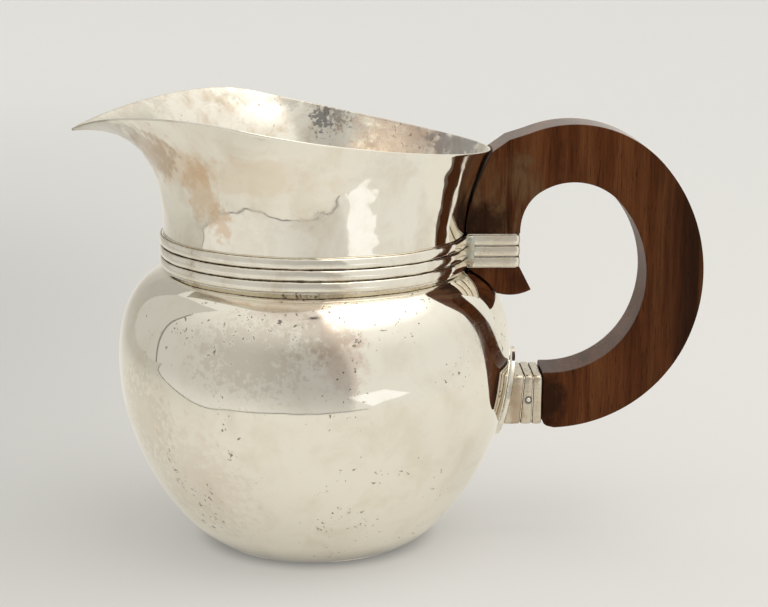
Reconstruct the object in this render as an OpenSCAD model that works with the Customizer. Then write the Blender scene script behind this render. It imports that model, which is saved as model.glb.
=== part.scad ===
// Silver water pitcher with a wooden C handle.
// +Z up, +X towards the handle, the spout points to -X. The origin is the centre of the flat base.

/* [Body] */
// Radius of the flat base
base_r = 41; // [38:1:44]
// Largest radius of the belly
belly_r = 80.2; // [79:0.1:81]
// Height of the widest part of the belly
belly_z = 76; // [72:1:80]
// Outside radius of the neck where it joins the belly
neck_r = 61.2; // [60.8:0.1:61.4]
// Thickness of the raised silver sheet
wall = 1; // [0.8:0.1:1.4]

/* [Neck and spout] */
// Reach of the spout tip from the axis
spout_reach = 97; // [92:1:102]
// Height of the spout tip
spout_z = 167.5; // [164:0.5:171]
// Reach of the rim towards the handle
rim_back = 71; // [70:0.5:72]
// Height of the rim beside the handle
rim_back_z = 160.5; // [159:0.5:161]
// Half width of the mouth at its widest
mouth_half = 70.5; // [66:0.5:74]
// Height of the rim where the mouth is widest
mouth_z = 176; // [172:0.5:180]

/* [Neck bands] */
// Height of each neck band and of each clasp strap
band_h = 4.5; // [4.2:0.1:4.6]
// Thickness of a neck band at its crest
band_t = 1.7; // [1.3:0.1:1.8]
// Height of the underside of the lowest neck band
band_z = 114; // [113.8:0.1:114.4]

/* [Handle] */
// Thickness of the wooden board
board_t = 22.6; // [20:0.2:24]
// Width of the board between its curved edges
board_w = 23.2; // [22:0.2:24]
// Radius of the board's centre line over the top
top_r = 36.6; // [36:0.1:37]
// Radius of the board's centre line down the outer side
side_r = 56; // [55:0.5:57]
// Radius of the board's centre line under the bottom
low_r = 49.2; // [48.6:0.2:49.6]
// Gap between the wood and the silver that it is scribed to
scribe_gap = 0.3; // [0.2:0.1:0.5]

/* [Clasp and socket] */
// Thickness of the sheet of both sleeves
sleeve_t = 0.7; // [0.5:0.1:0.9]
// Thickness of the clasp straps and the socket bands
strap_t = 1.0; // [0.8:0.1:1.2]
// Height of the underside of the socket
socket_z = 48.2; // [47.8:0.1:48.6]
// Height of the socket
socket_h = 21; // [20.4:0.1:21.2]
// Radius of the pin through the socket
pin_r = 0.9; // [0.7:0.1:1]

/* [Hidden] */
$fn = 96;

silver = [0.86, 0.84, 0.80];
rosewood = [0.27, 0.13, 0.08];
fit_gap = 0.05;              // clearance between the wood and the sleeves around it
big = 200;                   // longer than anything it cuts

// The belly joins the neck behind the middle band.
joint_z = band_z + 1.5 * band_h;
bands_top = band_z + 3 * band_h;
neck_z = bands_top + 0.5;    // where the neck starts to flare

// ---- Curves ----

// A point and the direction of a cubic Bezier curve with the four control points p.
function bez(p, t) = pow(1 - t, 3) * p[0] + 3 * pow(1 - t, 2) * t * p[1]
                   + 3 * (1 - t) * t * t * p[2] + t * t * t * p[3];
function bez_way(p, t) = pow(1 - t, 2) * (p[1] - p[0]) + 2 * (1 - t) * t * (p[2] - p[1])
                       + t * t * (p[3] - p[2]);
// A point at the distance d to the right of the curve.
function bez_side(p, t, d) =
    let (w = bez_way(p, t))
    bez(p, t) + d * [w[1], -w[0]] / norm(w);
// The curve in n steps, moved sideways by d, from the step called first.
function bez_path(p, n, d = 0, first = 0) = [for (i = [first:n]) bez_side(p, i / n, d)];
// Points on a circle from angle a0 to angle a1.
function arc(c, r, a0, a1, n) =
    [for (i = [0:n]) let (a = a0 + (a1 - a0) * i / n) c + r * [cos(a), sin(a)]];

// The belly's outside in the plane of radius and height, from the base to the collar.
bowl_curve = [[base_r, 0], [base_r + 15.5, 6.5], [belly_r, belly_z - 36], [belly_r, belly_z]];
shoulder_curve = [[belly_r, belly_z], [belly_r, belly_z + 19], [74.5, 106.5], [63.2, 112.2]];
cove_curve = [[63.2, 112.2], [62.2, 112.8], [neck_r, 113.2], [neck_r, band_z]];

// ---- Body ----

// The belly's outside, moved outwards by d, as far up as the underside of the bands.
function belly_path(d) = concat(bez_path(bowl_curve, 20, d), bez_path(shoulder_curve, 16, d, 1),
                                bez_path(cove_curve, 4, d, 1));

module belly() {
    inside = belly_path(-wall);
    color(silver)
        rotate_extrude()
            polygon(concat(belly_path(0), [[neck_r, joint_z], [neck_r - wall, joint_z]],
                           [for (i = [len(inside) - 1:-1:0]) inside[i]]));
}

// The bottom sheet, soldered inside the lower edge of the belly.
module base_disc() {
    edge = bez_side(bowl_curve, 0, -wall);
    color(silver)
        rotate_extrude()
            polygon([[0, 0], [base_r, 0], edge, [0, edge[1]]]);
}

module neck_band(level) {
    bulge_r = 3;             // radius of the rounded face
    middle_z = band_z + (level + 0.5) * band_h;
    color(silver)
        rotate_extrude()
            intersection() {
                translate([neck_r, middle_z - band_h / 2])
                    square([band_t, band_h]);
                translate([neck_r + band_t - bulge_r, middle_z])
                    circle(r = bulge_r);
            }
}

module neck_band_lower() { neck_band(0); }
module neck_band_middle() { neck_band(1); }
module neck_band_upper() { neck_band(2); }

// ---- Neck and spout ----

// Half of the rim as two Bezier curves of [x, y, z]: past the handle side, then along the spout.
rim_width_x = -27;           // where the mouth is widest
rim_handle_half = [[rim_back, 0, rim_back_z], [rim_back, 35, rim_back_z],
                   [12, mouth_half, mouth_z - 8], [rim_width_x, mouth_half, mouth_z]];
rim_spout_half = [[rim_width_x, mouth_half, mouth_z], [-53, mouth_half, mouth_z + 5.5],
                  [12 - spout_reach, 9, spout_z + 7.5], [-spout_reach, 0, spout_z]];
// The rim at u, from 0 at the handle to 1 at the tip of the spout.
function rim_half(u) = u < 0.5 ? bez(rim_handle_half, 2 * u) : bez(rim_spout_half, 2 * u - 1);

// The wall's outside above one point of the joint, in the plane of radius and height. The more
// the rim flares, the further the wall leans out and the longer its upper curve is.
function wall_curve(rim_r, rim_z) =
    let (flare = rim_r - neck_r,
         lean = 90 - 2.67 * flare,
         rise = (0.19 + 0.0142 * flare) * (rim_z - neck_z),
         reach = 8 + 0.48 * flare)
    [[neck_r, neck_z], [neck_r, neck_z + rise],
     [rim_r - reach * cos(lean), rim_z - reach * sin(lean)], [rim_r, rim_z]];

rim_steps = 40;              // columns of the neck on each side, from the handle to the tip
wall_steps = 13;             // rows of the neck from the bands to the rim

// One column of the wall at u, moved outwards by d, as points of [x, y, z] on the side s.
function wall_column(u, s, d) =
    let (rim = rim_half(u),
         rim_r = norm([rim[0], rim[1]]),
         way = [rim[0], s * rim[1]] / rim_r,
         curve = wall_curve(rim_r, rim[2]),
         flat = concat([[neck_r + d, joint_z]], bez_path(curve, wall_steps, d)))
    [for (p = flat) [p[0] * way[0], p[0] * way[1], p[1]]];

module neck_spout() {
    columns = 2 * rim_steps;
    rows = wall_steps + 2;
    // Once round the neck: out along one side to the tip, and back along the other.
    stations = [for (i = [0:columns - 1])
                    i <= rim_steps ? [i / rim_steps, 1] : [(columns - i) / rim_steps, -1]];
    outer = [for (s = stations) each wall_column(s[0], s[1], 0)];
    inner = [for (s = stations) each wall_column(s[0], s[1], -wall)];
    offset_in = len(outer);
    color(silver)
        polyhedron(concat(outer, inner), [
            for (i = [0:columns - 1])
                let (a = i * rows, b = ((i + 1) % columns) * rows)
                each concat(
                    [for (j = [0:rows - 2]) each [[a + j, a + j + 1, b + j + 1], [a + j, b + j + 1, b + j]]],
                    [for (j = [0:rows - 2])
                        let (c = a + offset_in + j, d = b + offset_in + j)
                        each [[c, d + 1, c + 1], [c, d, d + 1]]],
                    [[a, b, b + offset_in], [a, b + offset_in, a + offset_in]],
                    [let (c = a + rows - 1, d = b + rows - 1) each
                        [[c, c + offset_in, d + offset_in], [c, d + offset_in, d]]])
        ]);
}

// ---- Handle ----

// The board's centre line is three arcs that run into each other at these angles.
top_join = 42;
low_join = -24;
top_c = [103.7, 123.3];
side_c = top_c - (side_r - top_r) * [cos(top_join), sin(top_join)];
low_c = side_c + (side_r - low_r) * [cos(low_join), sin(low_join)];
half_w = board_w / 2;

// The clasp lies level with the neck bands; its end is let into the wood.
clasp_x = 82.2;
clasp_h = 3 * band_h + 0.2;
clasp_z = band_z - 0.1;
seat_x = clasp_x - sleeve_t - strap_t;

// The tenon fills the socket; the board's shoulder stands against its mouth.
socket_x = 92.3;
shoulder_x = socket_x + 0.5;
socket_cover = sleeve_t + strap_t;
tenon_low = socket_z + socket_cover + fit_gap;
tenon_high = socket_z + socket_h - socket_cover - fit_gap;
tenon_half_t = board_t / 2 - sleeve_t - fit_gap;
tenon_end = 77.5;            // cut back to the flange by the scribing

top_start = 112;             // angle where the top leaves its rise from the rim
gap_end = 122;               // angle where the finger gap leaves its arc, above the clasp
gap_arms = [6, 8];           // lengths of the control arms that lead it down to the clasp
board_start = [[60, 153], [77.3, 165.3]]; // the rise along the rim, inside the neck at first
board_foot = [[94.6, 47.5], [93.4, 48.4], [shoulder_x, 49.7]]; // the rounded heel below the socket
shoulder_bevel = 0.5;        // eased corner at the top of the shoulder
hook_c = [78.5, 120];        // the hook under the clasp is part of a circle
hook_r = 17.5;
hook_tip = -61;
hook_end = -105;
board_end = [60, 103];       // inside the neck

// The outline of the board in the plane of X and Z.
function board_outline() =
    let (shoulder_top = low_c[1] - low_r + half_w,
         clasp_top = clasp_z + clasp_h,
         arc_end = top_c + (top_r - half_w) * [cos(gap_end), sin(gap_end)],
         gap_curve = [arc_end, arc_end + gap_arms[0] * [-sin(gap_end), cos(gap_end)],
                      [clasp_x, clasp_top + gap_arms[1]], [clasp_x, clasp_top]])
    concat(board_start,
           arc(top_c, top_r + half_w, top_start, top_join, 14),
           arc(side_c, side_r + half_w, top_join, low_join, 14),
           arc(low_c, low_r + half_w, low_join, -88, 12),
           board_foot,
           [[shoulder_x, shoulder_top - shoulder_bevel], [shoulder_x + shoulder_bevel, shoulder_top]],
           arc(low_c, low_r - half_w, -90, low_join, 12),
           arc(side_c, side_r - half_w, low_join, top_join, 14),
           arc(top_c, top_r - half_w, top_join, gap_end, 16),
           bez_path(gap_curve, 8, 0, 1),
           [[seat_x, clasp_top], [seat_x, clasp_z], [clasp_x, clasp_z]],
           arc(hook_c, hook_r, hook_tip, hook_end, 8),
           [board_end]);

// The part of the belly's outside between two heights, moved outwards by d.
function belly_zone(d, low, high) = [for (p = belly_path(d)) if (p[1] > low && p[1] < high) p];

// Everything silver that the wood is scribed to, with the gap, as one turned shape.
module scribed_body(gap) {
    back_curve = wall_curve(rim_back, rim_back_z);
    band_edge = neck_r + band_t + gap;
    low = socket_z - 28;
    high = rim_back_z + 20;
    rotate_extrude()
        polygon(concat([[0, low]],
                       belly_zone(gap, low, band_z - 2.5),
                       [[band_edge, band_z - 1.4], [band_edge, bands_top + 0.1]],
                       bez_path(back_curve, 16, gap),
                       [[rim_back + gap, high], [0, high]]));
}

module handle() {
    color(rosewood)
        difference() {
            union() {
                rotate([90, 0, 0])
                    linear_extrude(board_t, center = true)
                        polygon(board_outline());
                translate([tenon_end, -tenon_half_t, tenon_low])
                    cube([shoulder_x + 1 - tenon_end, 2 * tenon_half_t, tenon_high - tenon_low]);
            }
            scribed_body(scribe_gap);
            flange_solid(scribe_gap);
            pin_hole();
        }
}

// ---- Clasp ----

// A strip bent round the board in the plane of X and Y, from the neck to the far edge.
module bent_strip(outer_x, outer_half, thick, corner) {
    start = 50;              // inside the neck, cut off by the bands
    difference() {
        union() {
            translate([start, -outer_half])
                square([outer_x - corner - start, 2 * outer_half]);
            translate([start, -outer_half + corner])
                square([outer_x - start, 2 * (outer_half - corner)]);
            for (side = [-1, 1])
                translate([outer_x - corner, side * (outer_half - corner)])
                    circle(r = corner);
        }
        translate([start - 1, -outer_half + thick])
            square([outer_x - thick - start + 1, 2 * (outer_half - thick)]);
        circle(r = neck_r + band_t + fit_gap);
    }
}

clasp_half = board_t / 2 + fit_gap + sleeve_t;

module clasp_sleeve() {
    color(silver)
        translate([0, 0, clasp_z])
            linear_extrude(clasp_h)
                bent_strip(seat_x + fit_gap + sleeve_t, clasp_half, sleeve_t, sleeve_t);
}

module clasp_strap(level) {
    groove = 0.3;            // gap between one strap and the next
    color(silver)
        translate([0, 0, band_z + level * band_h + groove / 2])
            linear_extrude(band_h - groove)
                bent_strip(clasp_x + fit_gap, clasp_half + strap_t, strap_t, 1.4);
}

module clasp_strap_lower() { clasp_strap(0); }
module clasp_strap_middle() { clasp_strap(1); }
module clasp_strap_upper() { clasp_strap(2); }

// ---- Socket ----

flange_rise = 0.5;           // solder between the belly and the flange
flange_t = 1.2;
flange_half = 15.5;
flange_low = 41;
flange_high = 78.5;

// The belly as a solid between two heights, moved outwards by d.
module belly_core(d, low, high) {
    rotate_extrude()
        polygon(concat(belly_zone(d, low, high), [[0, high - 2], [0, low + 2]]));
}

// The flange follows the belly; its outline is two arcs that meet in a point above and below.
module flange_solid(gap) {
    intersection() {
        belly_core(flange_rise + flange_t + gap, flange_low - 11, flange_high + 16);
        flange_outline(gap);
    }
}

module flange_outline(gap) {
    rise = (flange_high - flange_low) / 2;
    arc_r = (flange_half * flange_half + rise * rise) / (2 * flange_half);
    translate([60, 0, flange_low + rise])
        rotate([90, 0, 90])
            linear_extrude(30)
                intersection() {
                    translate([arc_r - flange_half, 0])
                        circle(r = arc_r + gap);
                    translate([flange_half - arc_r, 0])
                        circle(r = arc_r + gap);
                }
}

module socket_flange() {
    color(silver)
        difference() {
            flange_solid(0);
            belly_core(flange_rise, flange_low - 16, flange_high + 21);
        }
}

// A box round the tenon, open towards the body and the board: its outside stands off the tenon
// by cover and its sheet is thick.
module socket_box(cover, thick) {
    half = board_t / 2 - sleeve_t + cover;
    inset = socket_cover - cover;
    start = 70;              // behind the flange, which cuts the box off
    difference() {
        translate([start, -half, socket_z + inset])
            cube([socket_x - start, 2 * half, socket_h - 2 * inset]);
        translate([start - 10, -half + thick, socket_z + inset + thick])
            cube([big, 2 * (half - thick), socket_h - 2 * (inset + thick)]);
        flange_solid(fit_gap);
    }
}

module socket_sleeve() {
    color(silver)
        difference() {
            socket_box(sleeve_t, sleeve_t);
            pin_hole();
        }
}

// The bands taper from their top to their bottom; each groove leans more than the one outside it.
groove_top = [81, 85.3, 88.8, socket_x + 1];
groove_low = [70, 83.4, 88.4, socket_x + 1];

module socket_band(number) {
    groove = 0.15;           // half of the gap between two bands
    top_z = socket_z + socket_h + 1;
    low_z = socket_z - 1;
    color(silver)
        difference() {
            intersection() {
                socket_box(socket_cover, strap_t);
                rotate([90, 0, 0])
                    linear_extrude(big, center = true)
                        polygon([[groove_low[number] + groove, low_z],
                                 [groove_low[number + 1] - groove, low_z],
                                 [groove_top[number + 1] - groove, top_z],
                                 [groove_top[number] + groove, top_z]]);
            }
            pin_hole();
            pin_sink();
        }
}

module socket_band_inner() { socket_band(0); }
module socket_band_middle() { socket_band(1); }
module socket_band_outer() { socket_band(2); }

pin_x = 86.9;
pin_z = 58.8;
pin_gap = 0.02;
sink_r = 1.4;                // countersink round each end of the pin
sink_depth = 0.6;
socket_half = board_t / 2 - sleeve_t + socket_cover;

module pin_hole() {
    translate([pin_x, 0, pin_z])
        rotate([90, 0, 0])
            cylinder(r = pin_r + pin_gap, h = big, center = true);
}

module pin_sink() {
    for (side = [-1, 1])
        translate([pin_x, side * socket_half, pin_z])
            rotate([90, 0, 0])
                cylinder(r = sink_r, h = 2 * sink_depth, center = true);
}

// The pin passes right through; its two ends are domed over in the countersinks.
module socket_pin() {
    dome_r = pin_r + 0.2;
    shaft = 2 * (socket_half - sink_depth);
    color(silver)
        translate([pin_x, 0, pin_z])
            rotate([90, 0, 0]) {
                cylinder(r = pin_r, h = shaft, center = true);
                for (side = [-1, 1])
                    translate([0, 0, side * shaft / 2])
                        intersection() {
                            sphere(r = dome_r);
                            translate([0, 0, side * dome_r / 2])
                                cube([4 * dome_r, 4 * dome_r, dome_r], center = true);
                        }
            }
}

belly();
base_disc();
neck_spout();
neck_band_lower();
neck_band_middle();
neck_band_upper();
clasp_sleeve();
clasp_strap_lower();
clasp_strap_middle();
clasp_strap_upper();
handle();
socket_sleeve();
socket_band_inner();
socket_band_middle();
socket_band_outer();
socket_flange();
socket_pin();
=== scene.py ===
"""Silver water pitcher with a wooden C handle: the finished look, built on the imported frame."""
import math

import bmesh
import bpy
from bpy.props import FloatProperty, FloatVectorProperty, IntProperty, PointerProperty
from mathutils import Matrix, Vector, noise


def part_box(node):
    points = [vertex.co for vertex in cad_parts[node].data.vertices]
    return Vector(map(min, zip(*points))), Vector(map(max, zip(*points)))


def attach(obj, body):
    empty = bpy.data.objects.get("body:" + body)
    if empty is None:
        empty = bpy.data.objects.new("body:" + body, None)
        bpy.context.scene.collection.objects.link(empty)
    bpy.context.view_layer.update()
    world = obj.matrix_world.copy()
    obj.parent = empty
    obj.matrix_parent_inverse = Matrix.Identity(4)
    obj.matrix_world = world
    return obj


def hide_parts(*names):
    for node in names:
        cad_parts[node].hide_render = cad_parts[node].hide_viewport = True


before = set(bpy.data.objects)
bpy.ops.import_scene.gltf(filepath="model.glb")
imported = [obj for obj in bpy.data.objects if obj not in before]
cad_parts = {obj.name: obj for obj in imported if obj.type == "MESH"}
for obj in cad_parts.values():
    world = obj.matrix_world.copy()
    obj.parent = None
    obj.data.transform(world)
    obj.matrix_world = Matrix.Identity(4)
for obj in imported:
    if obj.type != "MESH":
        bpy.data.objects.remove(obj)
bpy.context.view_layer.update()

bl_info = {
    "name": "Silver Water Pitcher",
    "version": (1, 0, 0),
    "blender": (4, 5, 0),
    "location": "3D View > Sidebar > Pitcher",
    "description": "Builds a raised silver pitcher with banded neck and wooden handle, and its stage",
    "category": "Add Mesh",
}

MM = 0.001
UP = Vector((0, 0, 1))
WELD = 2e-6  # points closer than this, in metres, become one
RING_TURNS = 256  # steps round the bowl
BAND_TURNS = 288  # steps round a neck band
BELLY_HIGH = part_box("belly")[1]
BASE_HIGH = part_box("base_disc")[1]
BAND_LOW, BAND_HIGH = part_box("neck_band_lower")
BOARD_LOW, BOARD_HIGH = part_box("handle")
CLASP_LOW, CLASP_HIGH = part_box("clasp_sleeve")
STRAP_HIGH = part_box("clasp_strap_lower")[1]
SOCKET_LOW, SOCKET_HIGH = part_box("socket_band_middle")
SLEEVE_LOW, SLEEVE_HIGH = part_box("socket_sleeve")


# ---- Sizes, finishes and stage values ----

def length(name, description, default):
    return FloatProperty(name=name, description=description, default=default, unit="LENGTH", precision=5)


def colour(name, description, default):
    return FloatVectorProperty(name=name, description=description, default=default, size=3,
                               subtype="COLOR", min=0.0, max=1.0)


def share(name, description, default):
    return FloatProperty(name=name, description=description, default=default, min=0.0, max=1.0,
                         subtype="FACTOR")


class PitcherBodySizes(bpy.types.PropertyGroup):
    base_radius: length("Base radius", "Radius of the flat base", BASE_HIGH.x)
    belly_radius: length("Belly radius", "Largest radius of the belly", BELLY_HIGH.y)
    belly_height: length("Belly height", "Height of the widest part of the belly", 76 * MM)
    neck_radius: length("Neck radius", "Outside radius of the neck where it joins the belly", 61.2 * MM)
    joint_height: length("Joint height", "Height of the joint between belly and neck", BELLY_HIGH.z)
    wall: length("Wall", "Thickness of the raised sheet", 1.0 * MM)
    dent_depth: length("Dent depth", "How deep the planishing dents are", 0.32 * MM)
    dent_size: length("Dent size", "Width of a typical planishing dent", 30 * MM)
    seed: IntProperty(name="Seed", description="Which set of dents the hammer left", default=4)


class PitcherBandSizes(bpy.types.PropertyGroup):
    band_height: length("Band height", "Height of one neck band", BAND_HIGH.z - BAND_LOW.z)
    band_bottom: length("Band bottom", "Height of the underside of the lowest band", BAND_LOW.z)
    band_crest: length("Band crest", "Radius of a band at its crest", BAND_HIGH.x)
    edge_round: length("Edge rounding", "Radius of the eased edges of bands and straps", 0.45 * MM)
    waviness: length("Waviness", "How far a band strays from true", 0.16 * MM)


class PitcherHandleSizes(bpy.types.PropertyGroup):
    thickness: length("Board thickness", "Thickness of the wooden board", BOARD_HIGH.y - BOARD_LOW.y)
    width: length("Board width", "Width of the board between its curved edges", 23.2 * MM)
    edge_round: length("Edge rounding", "Radius of the board's eased edges", 0.4 * MM)
    scribe_gap: length("Scribe gap", "Gap between the wood and the silver it is scribed to", 0.3 * MM)


class PitcherFinish(bpy.types.PropertyGroup):
    silver: colour("Silver", "Colour of the clean silver", (0.90, 0.865, 0.77))
    tarnish: colour("Tarnish", "Colour of the light tarnish", (0.56, 0.42, 0.27))
    oxide: colour("Oxide", "Colour of the dark oxide in grooves and pits", (0.075, 0.060, 0.045))
    solder: colour("Solder", "Colour of the solder at the clasp", (0.50, 0.51, 0.44))
    wood_mid: colour("Wood", "Main colour of the rosewood", (0.088, 0.0250, 0.0070))
    wood_light: colour("Light wood", "Colour of the lighter grain", (0.150, 0.052, 0.017))
    wood_dark: colour("Dark wood", "Colour of the near-black streaks", (0.0100, 0.0040, 0.0018))
    wood_worn: colour("Worn wood", "Colour of the dry grain beside the clasp", (0.130, 0.072, 0.034))
    polish: share("Polish", "Roughness of the cleanest silver", 0.045)


class PitcherStage(bpy.types.PropertyGroup):
    camera_place: FloatVectorProperty(name="Camera", description="Where the camera stands", size=3,
                                      default=(0.002677, -0.758942, 0.263902), subtype="XYZ", unit="LENGTH")
    camera_pitch: FloatProperty(name="Pitch", description="How far the camera looks down", default=0.216855,
                                subtype="ANGLE")
    camera_yaw: FloatProperty(name="Yaw", description="How far the camera looks to the right",
                              default=0.033438, subtype="ANGLE")
    camera_roll: FloatProperty(name="Roll", description="How far the camera leans", default=0.004992,
                               subtype="ANGLE")
    lens: FloatProperty(name="Lens", description="Focal length in millimetres", default=89.0625, min=10)
    # The floor's two colours are painted light: it is lighter on the right, where the window light falls.
    floor_shaded_left: colour("Floor, left", "Colour of the pale floor on the left", (0.468, 0.465, 0.452))
    floor_lit_right: colour("Floor, right", "Colour of the pale floor on the right", (0.552, 0.546, 0.532))
    floor_far: colour("Floor, far", "Colour of the pale backdrop", (0.565, 0.562, 0.552))
    sheet: colour("Sheet", "Colour of the pale sheet that the silver reflects", (0.545, 0.535, 0.505))
    # The sheet's darker left end is painted shade.
    sheet_shaded_left: colour("Sheet, left", "Colour of the left end of that sheet", (0.36, 0.352, 0.332))
    room_light: FloatProperty(name="Room light", description="Brightness of the even room light", default=1.0,
                              min=0.0)
    window_light: FloatProperty(name="Window light", description="Power of the large soft light in watts",
                                default=1.2, min=0.0)


PROPERTY_GROUPS = (PitcherBodySizes, PitcherBandSizes, PitcherHandleSizes, PitcherFinish, PitcherStage)


# ---- Curves of the body and the handle, in metres ----

def bezier(points, t):
    """A point of a cubic Bezier curve."""
    a, b, c, d = points
    s = 1 - t
    return a * s ** 3 + b * (3 * s * s * t) + c * (3 * s * t * t) + d * t ** 3


def bezier_way(points, t):
    """The direction of a cubic Bezier curve, of length one."""
    a, b, c, d = points
    s = 1 - t
    return ((b - a) * (s * s) + (c - b) * (2 * s * t) + (d - c) * (t * t)).normalized()


def bezier_run(points, steps, side=0.0, first=0):
    """Points along the curve, moved to its right by side."""
    run = []
    for i in range(first, steps + 1):
        way = bezier_way(points, i / steps)
        run.append(bezier(points, i / steps) + Vector((way.y, -way.x)) * side)
    return run


def millimetres(*rows):
    return [Vector(row) * MM for row in rows]


def belly_curves():
    """The three curves of the belly's outside, as radius and height."""
    s = bpy.context.scene.pitcher_body
    base, belly, height, neck = s.base_radius, s.belly_radius, s.belly_height, s.neck_radius
    collar = Vector((neck + 2 * MM, 112.2 * MM))
    bowl = [Vector((base, 0)), Vector((base + 15.5 * MM, 6.5 * MM)),
            Vector((belly, height - 36 * MM)), Vector((belly, height))]
    shoulder = [Vector((belly, height)), Vector((belly, height + 19 * MM)),
                Vector((belly - 5.7 * MM, 106.5 * MM)), collar]
    cove = [collar, Vector((neck + MM, 112.8 * MM)), Vector((neck, 113.2 * MM)), Vector((neck, 114 * MM))]
    return bowl, shoulder, cove


def belly_outline(side, steps):
    """The belly's outside from the base to the bands, moved outwards by side."""
    bowl, shoulder, cove = belly_curves()
    return (bezier_run(bowl, steps, side) + bezier_run(shoulder, steps * 3 // 4, side, 1)
            + bezier_run(cove, 8, side, 1))


def radius_at(outline, height):
    """The radius of an outline at a height."""
    for low, high in zip(outline, outline[1:]):
        if low.y <= height <= high.y:
            return low.x + (high.x - low.x) * (height - low.y) / max(high.y - low.y, 1e-9)
    return outline[-1].x


# The rim runs from the handle to the tip of the spout in two curves. Its back is its lowest place.
RIM_HANDLE_HALF = millimetres((71, 0, 160.5), (71, 35, 160.5), (12, 70.5, 168), (-27, 70.5, 176))
RIM_SPOUT_HALF = millimetres((-27, 70.5, 176), (-53, 70.5, 181.5), (-85, 9, 175), (-97, 0, 167.5))
RIM_BACK_RADIUS, RIM_BACK_HEIGHT = 71 * MM, 160.5 * MM
FLARE_START = 128 * MM
# Where the board is cut back for the clasp, and where the edge of the finger gap meets it.
NOTCH_X, NOTCH_LOW, NOTCH_HIGH = 80.5 * MM, 113.9 * MM, 127.6 * MM
GAP_EDGE_X = 82.2 * MM


def rim_point(u):
    """The rim from the handle, at 0, to the tip of the spout, at 1."""
    return bezier(RIM_HANDLE_HALF, 2 * u) if u < 0.5 else bezier(RIM_SPOUT_HALF, 2 * u - 1)


def wall_curve(rim_radius, rim_height):
    """The neck's outside above one point of the joint. The flare is how far the rim stands out, in
    millimetres: the wider it is, the further the wall leans out and the longer its two ends run on."""
    neck = bpy.context.scene.pitcher_body.neck_radius
    flare = (rim_radius - neck) / MM
    degrees_per_flare = 2.67
    upright, upright_per_flare = 0.19, 0.0142
    run, run_per_flare = 8, 0.48
    lean = math.radians(90 - degrees_per_flare * flare)
    rise = (upright + upright_per_flare * flare) * (rim_height - FLARE_START)
    reach = (run + run_per_flare * flare) * MM
    return [Vector((neck, FLARE_START)), Vector((neck, FLARE_START + rise)),
            Vector((rim_radius - reach * math.cos(lean), rim_height - reach * math.sin(lean))),
            Vector((rim_radius, rim_height))]


def arc(centre, radius, start, end, steps):
    """Points on a circle between two angles in degrees."""
    return [centre + Vector((math.cos(a), math.sin(a))) * radius
            for a in (math.radians(start + (end - start) * i / steps) for i in range(steps + 1))]


# ---- Meshes ----

def chain_object(name, points, outward=None, across=None):
    """A mesh of points for the sweep to read, with its two directions at each point."""
    mesh = bpy.data.meshes.new(name)
    mesh.from_pydata([tuple(p) for p in points], [(i, i + 1) for i in range(len(points) - 1)], [])
    for label, vectors in (("outward", outward), ("across", across)):
        if vectors:
            attribute = mesh.attributes.new(label, "FLOAT_VECTOR", "POINT")
            for entry, vector in zip(attribute.data, vectors):
                entry.vector = vector
    item = bpy.data.objects.new(name, mesh)
    bpy.context.collection.objects.link(item)
    return item


def mesh_object(name, vertices, faces, materials, material_of_face=None):
    """A smooth mesh object from vertices and faces, with doubles merged and faces turned outwards."""
    mesh = bpy.data.meshes.new(name)
    mesh.from_pydata([tuple(v) for v in vertices], [], faces)
    for material in materials:
        mesh.materials.append(material)
    if material_of_face:
        mesh.polygons.foreach_set("material_index", material_of_face)
    item = bpy.data.objects.new(name, mesh)
    bpy.context.collection.objects.link(item)
    tidy_mesh(mesh)
    return item


def tidy_mesh(mesh):
    """Merges doubles, turns the faces outwards and shades them smooth."""
    work = bmesh.new()
    work.from_mesh(mesh)
    bmesh.ops.remove_doubles(work, verts=work.verts, dist=WELD)
    bmesh.ops.dissolve_degenerate(work, edges=work.edges, dist=1e-7)
    bmesh.ops.recalc_face_normals(work, faces=work.faces)
    for face in work.faces:
        face.smooth = True
    work.to_mesh(mesh)
    work.free()
    mesh.update()


def stand_for(piece, slot, *nodes):
    """Puts a finished piece on the body and hides the nodes it stands for."""
    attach(piece, "root")
    if nodes:
        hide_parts(*nodes)
    return piece


# ---- The sweep: one Geometry Nodes tree for everything turned, banded or strapped ----

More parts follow.
